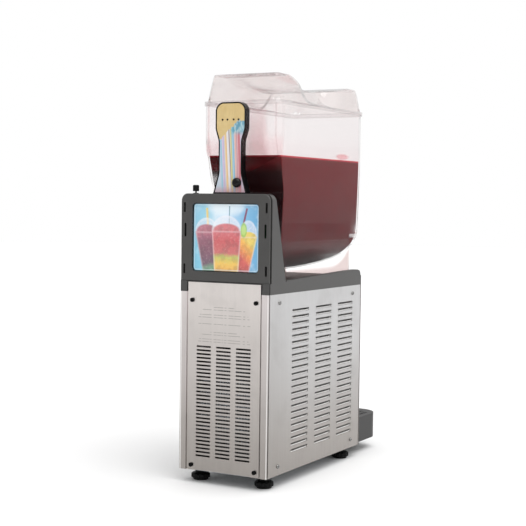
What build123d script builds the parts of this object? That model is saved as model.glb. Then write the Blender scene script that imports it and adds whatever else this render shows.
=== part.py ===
from build123d import *
import os
from math import cos, radians, sin

# Countertop slush machine with one clear bowl, in millimetres.
# X runs across the machine, -Y is the front with the tap, +Z is up, and z = 0 is the table.
# While a piece is modelled, Y = 0 is the middle of the steel cabinet; save() then moves it
# so that the origin lies under the middle of the whole machine.

# ---- Driving dimensions ----
BODY_W = 200.0            # cabinet width
BODY_D = 419.0            # cabinet depth
FOOT_H = 25.5             # height of the rubber feet
STEEL_TOP = 380.0         # top of the steel panels
DECK_FLOOR = 400.5        # flat top of the deck moulding
SHEET = 1.0               # steel sheet thickness
WALL = 3.0                # plastic moulding thickness
GAP = 0.3                 # clearance between pieces that come apart

HEAD_BASE = 401.5         # sign housing on the deck
HEAD_TOP = 573.0
AXIS_Z = 497.0            # height of the auger's axis
BOWL_TOP = 751.0
BOWL_FRONT = -234.0
BOWL_REAR = 120.0         # rear wall of the bowl, low down
BOWL_REAR_TOP = 150.0     # and at the rim
SLUSH_TOP = 650.0
LID_RIM = 757.0
LID_TOP = 811.0
TRAY_FRONT = -352.0
TRAY_TOP = 80.0
SCREW_HEAD_H = 3.6        # rear thumb screws stand this far out

HALF_W = BODY_W / 2
HALF_D = BODY_D / 2
Y_MIDDLE = (HALF_D + SCREW_HEAD_H + TRAY_FRONT) / 2

# ---- Cabinet ----
STRIP_W = 15.0            # visible post strip beside the rear and front panels
PANEL_HALF = 82.0         # half width of the rear and front panels
POST_LEG = 42.0           # leg of a corner post along the side panel
PANEL_GAP = 3.5           # dark groove between a side panel and its corner post
GROOVE_DEPTH = 3.0
SIDE_EDGE = HALF_D - SHEET - PANEL_GAP
SIDE_SCREW_Y = 166.0
SIDE_SCREW_Z = (43.5, 363.0)
REAR_SCREW_X = 72.0
REAR_SCREW_Z = (36.0, 363.5)
FRONT_SCREW_Z = (110.0, 363.5)
SCREW_R = 2.0
FOOT_X = 73.0
FOOT_Y = 171.0
STUD_R = 4.0
GLAND_Y = 176.0
GLAND_BORE_R = 4.0

LOUVRE_L = 72.0
LOUVRE_COLUMNS = (77.0, -26.3, -130.0)
LOUVRE_ROWS = 23
LOUVRE_PITCH = 12.69
LOUVRE_FIRST = 61.0
LOUVRE_H = 6.8
LOUVRE_DEPTH = 5.0

VENT_L = 32.7
VENT_H = 3.5
VENT_COLUMN = 44.9
VENT_ROWS = 30
VENT_PITCH = 7.47
VENT_FIRST = 56.0

# ---- Head and paddle ----
BEZEL_FRONT = 201.0
SIGN_HALF_W = 75.0
SIGN_LOW = 420.5
SIGN_HIGH = 554.5
PADDLE_FRONT = 177.0
PADDLE_REAR = 192.0
LAMP_X = (-18.0, -7.0, 7.0, 18.0)
LAMP_Z = 717.0
LAMP_R = 1.8
KNOB_X = -16.4
KNOB_Z = 594.5
ADJUSTER_X = 77.0
ADJUSTER_Y = 193.0

# ---- Drum, shaft and auger ----
DRUM_R = 48.0
DRUM_FRONT = -112.0
DRUM_REAR = 135.0
AUGER_R = 62.0
AUGER_HOLE_R = 51.0
SHAFT_R = 6.0
SHAFT_PLAY = 0.05
NECK_R = 66.0
BOSS_FRONT = 140.0
LINE_X = 38.0             # refrigerant lines up to the drum
LINE_Y = 168.0

# ---- Cooling plant ----
COMPRESSOR_X = -12.0
COMPRESSOR_Y = -95.0
COMPRESSOR_FEET = [(x, y) for x in (-70, 46) for y in (-142, -48)]
CONDENSER_X = 82.0
CONDENSER_PASSES = (143, 163)     # Y of its two columns of tubes
FAN_Z = 150.0
DRIER_X = 76.0
DRIER_Y = 30.0

# ---- Tap ----
TAP_Z = 492.0             # middle of the tap's inlet
TAP_FACE = -240.0
TAP_Y = -268.0            # axis of the piston
TAP_BORE_R = 9.0
PISTON_LOW = 484.0
PISTON_HIGH = 512.0
PIN_Y = TAP_Y - 24.0      # lever pin
PIN_Z = 552.0

# ---- Drip tray ----
TRAY_HALF = 88.0
TRAY_REAR = -211.5
TRAY_BOTTOM = 25.0
TRAY_CORNER = 48.0
GRID_T = 3.0
TRAY_PIN_X = 50.0
TRAY_PIN_Z = 60.0


# ---- Helpers ----
def block(x0, x1, y0, y1, z0, z1):
    """A box between two corners."""
    middle = Pos((x0 + x1) / 2, (y0 + y1) / 2, (z0 + z1) / 2)
    return middle * Box(x1 - x0, y1 - y0, z1 - z0)


def rod_x(y, z, x0, x1, r):
    return Pos((x0 + x1) / 2, y, z) * Rot(0, 90, 0) * Cylinder(r, x1 - x0)


def rod_y(x, z, y0, y1, r):
    return Pos(x, (y0 + y1) / 2, z) * Rot(90, 0, 0) * Cylinder(r, y1 - y0)


def rod_z(x, y, z0, z1, r):
    return Pos(x, y, (z0 + z1) / 2) * Cylinder(r, z1 - z0)


def outline(points):
    """A closed outline from (across, up, corner radius) points."""
    places = [(across, up) for across, up, radius in points]
    corner_radii = [radius for across, up, radius in points]
    return make_face(FilletPolyline(*places, radius=corner_radii, close=True))


def across_y(face, y0, y1):
    """Extrude an outline drawn in X and Z from y0 to y1."""
    return extrude(Pos(0, y0, 0) * (Plane.XZ * face), amount=y1 - y0, dir=(0, 1, 0))


def across_x(face, x0, x1):
    """Extrude an outline drawn in Y and Z from x0 to x1."""
    return extrude(Pos(x0, 0, 0) * (Plane.YZ * face), amount=x1 - x0, dir=(1, 0, 0))


def upright(face, z0, z1):
    """Extrude a plan outline from z0 to z1."""
    return extrude(Pos(0, 0, z0) * face, amount=z1 - z0, dir=(0, 0, 1))


def both_sides(right):
    """A piece and its mirror image in X."""
    return [right, mirror(right, about=Plane.YZ)]


def four_corners(piece):
    """A piece at +X +Y, repeated at all four corners."""
    pair = both_sides(piece)
    return pair + [mirror(each, about=Plane.XZ) for each in pair]


def pipe(points, radii, r):
    """A round tube along straight runs with a bend at each inner point."""
    path = FilletPolyline(*points, radius=radii)
    return sweep(Plane(path @ 0, z_dir=path % 0) * Circle(r), path=path)


def save(name, pieces):
    """Write one node, moved into the machine's own frame."""
    if not isinstance(pieces, list):
        pieces = [pieces]
    solids = [solid for piece in pieces for solid in piece.solids()]
    moved = Pos(0, -Y_MIDDLE, 0) * Compound(children=solids)
    export_step(moved, f"parts/{name}.step")


# ---- Cabinet ----
def base_pan():
    """Folded floor of the cabinet, with holes for the feet and the cable gland."""
    pan_x = HALF_W - GROOVE_DEPTH - SHEET - 0.2
    pan_y = HALF_D - 3.4
    lip = 8.0
    pan = block(-pan_x, pan_x, -pan_y, pan_y, FOOT_H, FOOT_H + lip)
    hollow_x = pan_x - SHEET
    hollow_y = pan_y - SHEET
    pan -= block(-hollow_x, hollow_x, -hollow_y, hollow_y, FOOT_H + 1.5, FOOT_H + lip + 1)
    pan -= four_corners(rod_z(FOOT_X, FOOT_Y, 20, 30, STUD_R + 0.2))
    pan -= rod_z(0, GLAND_Y, 20, 30, 8.0)
    return pan


def corner_post(panel_screw_z):
    """Folded post at +X +Y: outer strip, joggled tab behind the panel, leg along the side."""
    strip_x = HALF_W - STRIP_W
    tab_x = 62.0
    tab_y = HALF_D - 2 * SHEET - 0.1
    leg_x = HALF_W - GROOVE_DEPTH
    leg_y = HALF_D - POST_LEG
    strip = block(strip_x, HALF_W, HALF_D - SHEET, HALF_D, FOOT_H, STEEL_TOP)
    joggle = block(strip_x, strip_x + SHEET, tab_y - SHEET, HALF_D, FOOT_H, STEEL_TOP)
    tab = block(tab_x, strip_x + SHEET, tab_y - SHEET, tab_y, FOOT_H, STEEL_TOP)
    leg = block(leg_x - SHEET, leg_x, leg_y, HALF_D, FOOT_H, STEEL_TOP)
    post = strip + joggle + tab + leg
    for z in SIDE_SCREW_Z:
        post += block(leg_x - SHEET, leg_x, SIDE_SCREW_Y - 8, leg_y, z - 8, z + 8)
        post -= rod_x(SIDE_SCREW_Y, z, 90, 110, SCREW_R)
    for z in panel_screw_z:
        post -= rod_y(REAR_SCREW_X, z, 200, 212, SCREW_R)
    return post


def corner_posts():
    """Two rear posts and two front posts."""
    front = mirror(corner_post(FRONT_SCREW_Z), about=Plane.XZ)
    return both_sides(corner_post(REAR_SCREW_Z)) + both_sides(front)


def louvre_dish(y, z):
    """The pressed-in tongue under one louvre slit on the -X side."""
    skin = -HALF_W
    half = LOUVRE_L / 2
    deep = skin + LOUVRE_DEPTH
    tongue_top = z + LOUVRE_H - 2.0
    tongue = outline([
        (skin, z, 0), (skin + SHEET, z, 0),
        (deep + 0.8, tongue_top - 0.4, 0), (deep, tongue_top, 0)])
    end = outline([(skin, z, 0), (deep, tongue_top - 0.2, 0), (skin + 0.2, tongue_top, 0)])
    dish = across_y(tongue, y - half, y + half)
    dish += across_y(end, y - half, y - half + 0.8)
    dish += across_y(end, y + half - 0.8, y + half)
    return dish


def left_side_panel():
    """Louvred side panel on the -X side."""
    panel = block(-HALF_W, -HALF_W + SHEET, -SIDE_EDGE, SIDE_EDGE, FOOT_H + 0.5, STEEL_TOP)
    holes = [rod_x(side * SIDE_SCREW_Y, z, -110, -90, SCREW_R)
             for side in (-1, 1) for z in SIDE_SCREW_Z]
    slits = []
    dishes = []
    half = LOUVRE_L / 2
    for y in LOUVRE_COLUMNS:
        for row in range(LOUVRE_ROWS):
            z = LOUVRE_FIRST + row * LOUVRE_PITCH
            slits.append(block(-HALF_W - 1, -HALF_W + 2, y - half, y + half, z, z + LOUVRE_H))
            dishes.append(louvre_dish(y, z))
    return panel - holes - slits + dishes


def rear_panel():
    """Rear service panel with three columns of vent slots."""
    panel = block(-PANEL_HALF, PANEL_HALF, HALF_D - SHEET, HALF_D, FOOT_H + 1.5, 399.0)
    cuts = [rod_y(side * REAR_SCREW_X, z, 200, 212, SCREW_R)
            for side in (-1, 1) for z in REAR_SCREW_Z]
    for column in (-1, 0, 1):
        for row in range(VENT_ROWS):
            centre = (column * VENT_COLUMN, VENT_FIRST + row * VENT_PITCH)
            slot = Pos(*centre) * Rectangle(VENT_L, VENT_H)
            cuts.append(across_y(slot, HALF_D - 3, HALF_D + 3))
    return panel - cuts


def front_panel():
    """Plain front panel behind the drip tray."""
    panel = block(-PANEL_HALF, PANEL_HALF, -HALF_D, -HALF_D + SHEET, FOOT_H + 1.5, STEEL_TOP)
    for side in (-1, 1):
        for z in FRONT_SCREW_Z:
            panel -= rod_y(side * REAR_SCREW_X, z, -212, -200, SCREW_R)
    return panel


def dome_screw(length=8.0):
    """A dome-headed screw along +Z, with its seat at z = 0 and a cross recess."""
    head_r = 4.2
    head_h = 2.4
    head = Cylinder(head_r, head_h, align=(Align.CENTER, Align.CENTER, Align.MIN))
    head = fillet(head.edges().group_by(Axis.Z)[-1], head_h * 0.8)
    shank = Pos(0, 0, -length / 2) * Cylinder(SCREW_R - 0.02, length)
    recess = Pos(0, 0, head_h) * (Box(4.2, 0.9, 2.0) + Box(0.9, 4.2, 2.0))
    return head + shank - recess


def thumb_screw(length=9.0):
    """A black slotted thumb screw along +Z, with its seat at z = 0."""
    head = Cylinder(4.2, SCREW_HEAD_H, align=(Align.CENTER, Align.CENTER, Align.MIN))
    head = fillet(head.edges().group_by(Axis.Z)[-1], 0.8)
    slot = Pos(0, 0, SCREW_HEAD_H) * Box(10, 1.1, 2.4)
    shank = Pos(0, 0, -length / 2) * Cylinder(SCREW_R - 0.02, length)
    return head - slot + shank


def side_panel_screws():
    right = [Pos(HALF_W, side * SIDE_SCREW_Y, z) * Rot(0, 90, 0) * dome_screw(5.0)
             for side in (-1, 1) for z in SIDE_SCREW_Z]
    return right + [mirror(screw, about=Plane.YZ) for screw in right]


def rear_panel_screws():
    return [Pos(side * REAR_SCREW_X, HALF_D, z) * Rot(-90, 0, 0) * thumb_screw()
            for side in (-1, 1) for z in REAR_SCREW_Z]


def front_panel_screws():
    return [Pos(side * REAR_SCREW_X, -HALF_D, z) * Rot(90, 0, 0) * dome_screw()
            for side in (-1, 1) for z in FRONT_SCREW_Z]


def feet():
    """Four rubber feet with a scalloped grip and a blind hole for the stud."""
    pocket_r = 3.2
    bell = make_face(Polyline(
        (0, 0), (14, 0), (15.5, 1.5), (15.5, 3), (19, 5), (19, 11.5), (16, 14), (11, 15.5),
        (10.5, 20), (13, 21.5), (13, FOOT_H), (0, FOOT_H), close=True))
    foot = revolve(Plane.XZ * bell, axis=Axis.Z)
    foot -= [place * Pos(0, 0, 10) * Cylinder(pocket_r, 12) for place in PolarLocations(20.8, 12)]
    foot -= Pos(0, 0, 20) * Cylinder(STUD_R, 24)
    return four_corners(Pos(FOOT_X, FOOT_Y, 0) * foot)


def foot_studs():
    """Studs of the feet, each with a nut on the floor of the pan."""
    stud = rod_z(FOOT_X, FOOT_Y, 8.2, 40, STUD_R - 0.02)
    nut = Pos(FOOT_X, FOOT_Y, 30) * extrude(RegularPolygon(7.5, 6), amount=3, both=True)
    return four_corners(stud + nut)


def cable_gland():
    """Gland in the floor, through which a supply lead would pass."""
    body = rod_z(0, GLAND_Y, 20.5, 37.5, 7.9) + rod_z(0, GLAND_Y, 27, 33, 11.0)
    body += Pos(0, GLAND_Y, 22.5) * extrude(RegularPolygon(12.0, 6), amount=1.5, both=True)
    body += rod_z(0, GLAND_Y, 24, FOOT_H, 11.0)
    return body - rod_z(0, GLAND_Y, 10, 40, GLAND_BORE_R)


# ---- Cooling plant inside the cabinet ----
def compressor():
    """Hermetic compressor can on its mounting plate."""
    can = rod_z(COMPRESSOR_X, COMPRESSOR_Y, 39, 157, 55)
    can = fillet(can.edges().filter_by(GeomType.CIRCLE), 30)
    seam = rod_z(COMPRESSOR_X, COMPRESSOR_Y, 101.5, 106.5, 57)
    plate = block(-78, 54, -150, -40, 37, 39.5)
    plate -= [rod_z(x, y, 30, 45, 3.2) for x, y in COMPRESSOR_FEET]
    return can + seam + plate


def compressor_grommets():
    """Rubber feet between the compressor's plate and the pan."""
    return [rod_z(x, y, 27, 37, 7) + rod_z(x, y, 37, 41, 3) for x, y in COMPRESSOR_FEET]


def terminal_box():
    return fillet(block(45, 72, -118, -72, 80, 122).edges().filter_by(Axis.X), 4)


def condenser():
    """Finned block with cross tubes and side plates."""
    fin_count = 26
    spacing = 6.2
    half_fin = 0.3
    start = -(fin_count - 1) * spacing / 2
    places = [start + i * spacing for i in range(fin_count)]
    fins = [block(x - half_fin, x + half_fin, 134, 172, 40, 262) for x in places]
    tubes = [rod_x(y, 56 + 24 * row, -CONDENSER_X, CONDENSER_X, 4)
             for row in range(9) for y in CONDENSER_PASSES]
    plates = both_sides(block(CONDENSER_X - 1.2, CONDENSER_X, 132, 174, 38, 264))
    return fins[0] + fins[1:] + tubes + plates


def fan_shroud():
    """Plate with a round opening that ducts the fan into the condenser."""
    shroud = block(-88, 88, 122, 124, 36, 266)
    shroud += rod_y(0, FAN_Z, 108, 124, 73)
    return shroud - rod_y(0, FAN_Z, 100, 130, 71)


def fan_motor():
    """Small motor on three arms that reach the shroud's plate."""
    reach = 80
    motor = rod_y(0, FAN_Z, 66, 98, 22)
    for angle in (90, 210, 330):
        arm_x = reach * cos(radians(angle))
        arm_z = FAN_Z + reach * sin(radians(angle))
        spoke = block(15, reach, 84, 90, -3, 3)
        motor += rod_y(arm_x, arm_z, 84, 122, 3)
        motor += Pos(0, 0, FAN_Z) * Rot(0, -angle, 0) * spoke
    return motor - rod_y(0, FAN_Z, 90, 99, 3.1)


def fan_blade():
    """Five pitched blades on a hub, with the motor's shaft."""
    blade_count = 5
    fan = rod_y(0, FAN_Z, 103, 119, 17) + rod_y(0, FAN_Z, 91, 104, 3.0)
    blade = Pos(40, 111, 0) * Rot(28, 0, 0) * Box(56, 1.6, 26)
    for i in range(blade_count):
        fan += Pos(0, 0, FAN_Z) * Rot(0, 360 / blade_count * i, 0) * blade
    return fan


def filter_drier():
    body = rod_z(DRIER_X, DRIER_Y, 60, 150, 10)
    return fillet(body.edges().filter_by(GeomType.CIRCLE), 6)


def refrigerant_pipes():
    """Copper lines between the compressor, the condenser, the drier and the drum."""
    r = 3.0
    discharge = pipe([(COMPRESSOR_X, COMPRESSOR_Y, 157.5), (COMPRESSOR_X, COMPRESSOR_Y, 300),
                      (COMPRESSOR_X, 60, 300), (-60, 153, 300), (-60, 153, 265)], [18, 18, 15], r)
    liquid = pipe([(DRIER_X, 100, 285), (DRIER_X, DRIER_Y, 285), (DRIER_X, DRIER_Y, 150)], [18], r)
    liquid += pipe([(60, 153, 265), (60, 153, 285), (DRIER_X, 100, 285)], [9], r)
    supply = pipe([(DRIER_X, DRIER_Y, 60), (DRIER_X, DRIER_Y, 50), (88, 60, 50), (88, 60, 330),
                   (LINE_X, LINE_Y, 330), (LINE_X, LINE_Y, AXIS_Z), (LINE_X, 118, AXIS_Z)],
                  [4, 5, 12, 18, 12], 2.0)
    suction = pipe([(-60, -60, 157), (-60, -60, 350), (-LINE_X, LINE_Y, 350),
                    (-LINE_X, LINE_Y, AXIS_Z), (-LINE_X, 118, AXIS_Z)], [18, 18, 14], 4.0)
    return [discharge, liquid, supply, suction]


# ---- Deck ----
def deck():
    """Plastic deck with raised cheeks beside the bowl, hollow underneath."""
    body = block(-HALF_W, HALF_W, -HALF_D + 0.5, HALF_D, STEEL_TOP, DECK_FLOOR)
    inside = HALF_W - WALL
    body -= block(-inside, inside, -HALF_D + WALL, HALF_D - WALL, STEEL_TOP - 1, DECK_FLOOR - WALL)
    notch = HALF_W - STRIP_W
    body -= block(-notch, notch, HALF_D - WALL - 1, HALF_D + 1, STEEL_TOP - 1, 399.2)
    cheek = outline([
        (HALF_D, STEEL_TOP + 10, 0), (HALF_D, HEAD_BASE, 0), (141.5, HEAD_BASE, 0),
        (138, 405.0, 0), (-165, 413.7, 60), (-191, 413.7, 0), (-203, 410.5, 9),
        (-206, 400, 0), (-HALF_D + 0.5, 396, 3), (-HALF_D + 0.5, STEEL_TOP + 10, 0)])
    for x0, x1 in ((-HALF_W, -HALF_W + 13), (HALF_W - 13, HALF_W)):
        side = across_x(cheek, x0, x1)
        side -= block(-inside, inside, -HALF_D, HALF_D, STEEL_TOP, DECK_FLOOR - WALL)
        body += side
    body += block(-HALF_W + 5, HALF_W - 5, 190, HALF_D - WALL - 1.2, DECK_FLOOR - 1, HEAD_BASE)
    body -= [rod_z(x, LINE_Y, 390, 410, 6) for x in (-LINE_X, LINE_X)]
    groove = block(HALF_W - 2.5, HALF_W + 1, SIDE_EDGE, HALF_D - SHEET, STEEL_TOP - 1, HEAD_BASE + 1)
    body -= both_sides(groove)
    return body


# ---- Head housing and sign ----
def slant_y(z):
    """The front of the head housing at height z."""
    return 143 + (z - 406) * 41 / 162


def frame_outline(inset):
    """The head's outline seen from the rear, drawn in at the sides and the top."""
    half = HALF_W - inset
    high = HEAD_TOP - inset
    corner = 14 - inset
    return outline([
        (-half, HEAD_BASE, 0), (-half, high, corner), (half, high, corner), (half, HEAD_BASE, 0)])


def head_form(inset):
    """The head housing's closed form, drawn in by an inset."""
    front_low = slant_y(HEAD_BASE)
    front_high = slant_y(HEAD_TOP)
    profile = outline([
        (BEZEL_FRONT - 0.8, HEAD_BASE, 0), (BEZEL_FRONT - 0.8, HEAD_TOP - inset, 0),
        (front_high + 2 + inset, HEAD_TOP - inset, 4), (front_low + inset * 1.03, HEAD_BASE, 0)])
    half = HALF_W - inset
    return across_x(profile, -half, half) & across_y(frame_outline(inset), 100, 230)


def head_housing():
    """Five-sided shell that carries the gear motor and the sign."""
    shell = head_form(0) - head_form(WALL)
    shell -= across_y(frame_outline(WALL), 195, 210)
    shell -= rod_y(0, AXIS_Z, 140, 190, 50)
    shell -= rod_z(ADJUSTER_X, ADJUSTER_Y, 560, 580, 4.0)
    return shell


def bezel_slot(x, low, high):
    """A round-ended upright slot through the sign bezel."""
    wide = 4.5
    slot = Pos(x, (low + high) / 2) * Rot(0, 0, 90) * SlotOverall(high - low, wide)
    return across_y(slot, BEZEL_FRONT - 5, HALF_D + 5)


def sign_bezel():
    """Rear frame around the sign: a plate on a set-back rim, with three slots down each side."""
    plate_front = HALF_D - 2.5
    plate = across_y(frame_outline(0), plate_front, HALF_D)
    plate = chamfer(plate.faces().sort_by(Axis.Y)[-1].edges(), 0.9)
    rim = across_y(frame_outline(GROOVE_DEPTH), BEZEL_FRONT, plate_front)
    rim -= across_y(frame_outline(GROOVE_DEPTH + 2.2), BEZEL_FRONT - 1, plate_front)
    frame = plate + rim
    frame -= across_y(outline([
        (-SIGN_HALF_W, SIGN_LOW, 8), (-SIGN_HALF_W, SIGN_HIGH, 8),
        (SIGN_HALF_W, SIGN_HIGH, 8), (SIGN_HALF_W, SIGN_LOW, 8)]), 190, 220)
    for side in (-1, 1):
        for x, low, high in ((92.3, 415, 435), (90.3, 488, 515), (92.3, 536, 556)):
            frame -= bezel_slot(side * x, low, high)
    return frame


def sign_sheet(grow, y0, y1):
    """A sheet with the window's outline, larger by grow."""
    half = SIGN_HALF_W + grow
    return across_y(outline([
        (-half, SIGN_LOW - grow, 8), (-half, SIGN_HIGH + grow, 8),
        (half, SIGN_HIGH + grow, 8), (half, SIGN_LOW - grow, 8)]), y0, y1)


def sign_lens():
    return sign_sheet(-0.6, HALF_D - 3.0, HALF_D - 1.0) + sign_sheet(3, HALF_D - 4.5, HALF_D - 3.0)


def sign_print():
    return sign_sheet(3, HALF_D - 5.0, HALF_D - 4.5)


def sign_light_board():
    """Board with rows of lamps that light the sign from behind."""
    board = block(-84, 84, 197.2, 198.6, SIGN_LOW - 4, SIGN_HIGH + 4)
    lamps = [block(x - 2.5, x + 2.5, 198.6, 200.2, z - 2.5, z + 2.5)
             for x in (-60, -36, -12, 12, 36, 60) for z in (440, 472, 504, 536)]
    posts = [rod_y(x, z, 198.6, HALF_D - WALL, 2) for x in (-81.2, 81.2) for z in (424, 552)]
    return board + lamps + posts


def gearbox():
    """Gear case with the output boss that carries the drum's shaft."""
    case = block(-36, 74, 178, 196.5, 470, 518)
    case += rod_y(0, AXIS_Z, BOSS_FRONT, 180, 27)
    case -= rod_y(0, AXIS_Z, BOSS_FRONT - 1, 170, SHAFT_R + GAP)
    return case


def gear_motor():
    can = rod_z(56, 181, 408, 469.8, 14.5)
    return fillet(can.edges().group_by(Axis.Z)[0], 3) + rod_z(56, 181, 469, 470, 8)


def adjuster_bush():
    """Brass bush in the housing's roof for the thickness adjuster."""
    bush = rod_z(ADJUSTER_X, ADJUSTER_Y, 562, HEAD_TOP, 3.95)
    bush += rod_z(ADJUSTER_X, ADJUSTER_Y, HEAD_TOP, HEAD_TOP + 1.2, 5.5)
    return bush - rod_z(ADJUSTER_X, ADJUSTER_Y, 550, 580, 2.05)


def adjuster_screw():
    return rod_z(ADJUSTER_X, ADJUSTER_Y, 548, 579, 2.0)


def adjuster_knob():
    """Small ribbed knob on the adjuster screw."""
    knob = rod_z(ADJUSTER_X, ADJUSTER_Y, 577.5, 590, 6.2)
    knob = fillet(knob.edges().group_by(Axis.Z)[-1], 2.2)
    ribs = 14
    for i in range(ribs):
        angle = radians(360 / ribs * i)
        knob -= rod_z(ADJUSTER_X + 6.5 * cos(angle), ADJUSTER_Y + 6.5 * sin(angle), 570, 587, 0.6)
    return knob - rod_z(ADJUSTER_X, ADJUSTER_Y, 570, 579, 2.0)


# ---- Control paddle ----
def paddle_outline(inset):
    """Paddle shape: broad rounded head, waist, and a foot that flares onto the housing."""
    side = [(33.8, 751, 18), (33.8, 699, 30), (26.3, 676, 30), (26.3, 613, 45), (36.5, 578, 8),
            (38.5, HEAD_TOP, 0)]
    left = [(-x, z, r) for x, z, r in reversed(side)]
    face = outline(side + left)
    if inset:
        face = offset(face, amount=-inset, kind=Kind.INTERSECTION)
    return face


def paddle_body():
    """Black paddle casing, open at the rear where the face closes it."""
    casing = across_y(paddle_outline(0), PADDLE_FRONT, PADDLE_REAR)
    casing -= across_y(paddle_outline(4.6), PADDLE_FRONT + 2.4, PADDLE_REAR - 1.6)
    casing -= across_y(paddle_outline(2.6), PADDLE_REAR - 1.6, PADDLE_REAR + 1)
    return casing


def paddle_face():
    """Printed face plate with holes for the lamps and the selector."""
    face = across_y(paddle_outline(2.8), PADDLE_REAR - 1.6, PADDLE_REAR - 0.2)
    face -= [rod_y(x, LAMP_Z, 180, 200, LAMP_R + 0.05) for x in LAMP_X]
    face -= rod_y(KNOB_X, KNOB_Z, 180, 200, 3.05)
    return face


def control_board():
    board = block(-21, 21, 183, 184.6, 588, 735)
    chips = [block(-12, 6, 184.6, 187, 640, 658), block(-8, 8, 184.6, 186.6, 676, 690)]
    return board + chips


def indicator_lamps():
    """Four small lamps in the paddle's face, standing on the board."""
    return [rod_y(x, LAMP_Z, 184.6, PADDLE_REAR + 0.5, LAMP_R) for x in LAMP_X]


def selector_spindle():
    return rod_y(KNOB_X, KNOB_Z, 185.2, 195.0, 3.0)


def selector_knob():
    """Domed round knob."""
    knob = rod_y(KNOB_X, KNOB_Z, PADDLE_REAR + 0.7, 201.0, 9.5)
    knob = fillet(knob.edges().group_by(Axis.Y)[-1], 6.5)
    return knob - rod_y(KNOB_X, KNOB_Z, 190, 195, 3.0)


# ---- Drum, shaft and auger ----
def drum_neck():
    """Moulded neck between the head housing and the bowl."""
    neck = rod_y(0, AXIS_Z, BOWL_REAR + 1, 190, NECK_R)
    neck -= rod_y(0, AXIS_Z, BOWL_REAR + 4, 200, 50)
    neck -= rod_y(0, AXIS_Z, 100, 150, DRUM_R + 0.02)
    behind = outline([(slant_y(HEAD_BASE), HEAD_BASE, 0), (slant_y(HEAD_TOP), HEAD_TOP, 0),
                      (260, HEAD_TOP, 0), (260, HEAD_BASE, 0)])
    return neck - across_x(behind, -90, 90)


def evaporator_drum():
    """Closed steel drum that freezes the mix, with a tube for the shaft."""
    skin = 1.5
    drum = rod_y(0, AXIS_Z, DRUM_FRONT, DRUM_REAR, DRUM_R)
    drum = fillet(drum.edges().group_by(Axis.Y)[0], 6)
    drum -= rod_y(0, AXIS_Z, DRUM_FRONT + skin, DRUM_REAR - 2, DRUM_R - skin)
    drum += rod_y(0, AXIS_Z, DRUM_FRONT + 0.2, DRUM_REAR, 10)
    drum -= rod_y(0, AXIS_Z, DRUM_FRONT - 5, DRUM_REAR + 5, 8)
    drum -= [rod_y(x, AXIS_Z, 130, 140, 4.3) for x in (-LINE_X, LINE_X)]
    return drum


def evaporator_coil():
    """Cooling tube wound against the inside of the drum."""
    turns = Helix(pitch=11, height=187, radius=42.2)
    coil = sweep(Plane(turns @ 0, z_dir=turns % 0) * Circle(4.0), path=turns, is_frenet=True)
    return Pos(0, 100, AXIS_Z) * Rot(90, 0, 0) * coil


def shaft_bushes():
    """Plain bushes at both ends of the drum's tube."""
    return [rod_y(0, AXIS_Z, y, y + 12, 8) - rod_y(0, AXIS_Z, y - 1, y + 13, SHAFT_R + SHAFT_PLAY)
            for y in (DRUM_FRONT + 1, DRUM_REAR - 12)]


def shaft_seal():
    """Lip seal in front of the front bush."""
    ring = rod_y(0, AXIS_Z, DRUM_FRONT - 2, DRUM_FRONT + 1, 8)
    return ring - rod_y(0, AXIS_Z, DRUM_FRONT - 3, DRUM_FRONT + 2, SHAFT_R + 0.08)


def drive_shaft():
    return rod_y(0, AXIS_Z, DRUM_FRONT - 26, 165, SHAFT_R)


def auger():
    """Spiral scraper on two rails, joined to a hub at the shaft's front end."""
    pitch = 58.0
    turns = Helix(pitch=pitch, height=pitch * 3.4, radius=(AUGER_R + AUGER_HOLE_R) / 2)
    section = Plane(turns @ 0, x_dir=(1, 0, 0), z_dir=turns % 0)
    ribbon = section * Rectangle(AUGER_R - AUGER_HOLE_R, 4.0)
    blade = sweep(ribbon, path=turns, is_frenet=True)
    blade = Pos(0, 92, AXIS_Z) * Rot(90, 0, 0) * blade
    rail_in = AUGER_HOLE_R + 1.5
    rail_out = AUGER_HOLE_R + 7.5
    rails = both_sides(block(rail_in, rail_out, DRUM_FRONT - 12, 90, AXIS_Z - 4, AXIS_Z + 4))
    spoke = block(-rail_out, rail_out, DRUM_FRONT - 14, DRUM_FRONT - 6, AXIS_Z - 5, AXIS_Z + 5)
    hub = rod_y(0, AXIS_Z, DRUM_FRONT - 34, DRUM_FRONT - 5, 13)
    hub = fillet(hub.edges().group_by(Axis.Y)[0], 8)
    screw = blade + rails + [spoke, hub]
    return screw - rod_y(0, AXIS_Z, DRUM_FRONT - 26, 100, SHAFT_R)


# ---- Bowl, slush and lid ----
def bowl_side(inset):
    """Side view of the bowl's form: slanted rear wall, level floor, floor curving up in front."""
    floor = 417.0
    radius = 8.0 - inset
    low_rear = BOWL_REAR - inset
    high_rear = BOWL_REAR_TOP - inset
    rear = Polyline((0, BOWL_TOP), (high_rear, BOWL_TOP), (high_rear, 688), (low_rear, 577),
                    (low_rear, floor + 8))
    corner = RadiusArc((low_rear, floor + 8), (BOWL_REAR - 8, floor + inset), radius)
    outer = Spline((BOWL_REAR - 8, floor), (-40, 421), (-110, 428.5), (-170, 441), (-211, 462),
                   (-227, 482), (BOWL_FRONT, 515), tangents=((-1, 0), (0, 1)))
    stations = [i / 10 for i in range(11)]
    points = [outer @ t + (outer % t).rotate(Axis.Z, -90) * inset for t in stations]
    under = Spline(*points, tangents=((-1, 0), (0, 1)))
    front = Polyline((BOWL_FRONT + inset, 515), (BOWL_FRONT + inset, BOWL_TOP), (0, BOWL_TOP))
    return make_face([*rear.edges(), *corner.edges(), *under.edges(), *front.edges()])


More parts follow.
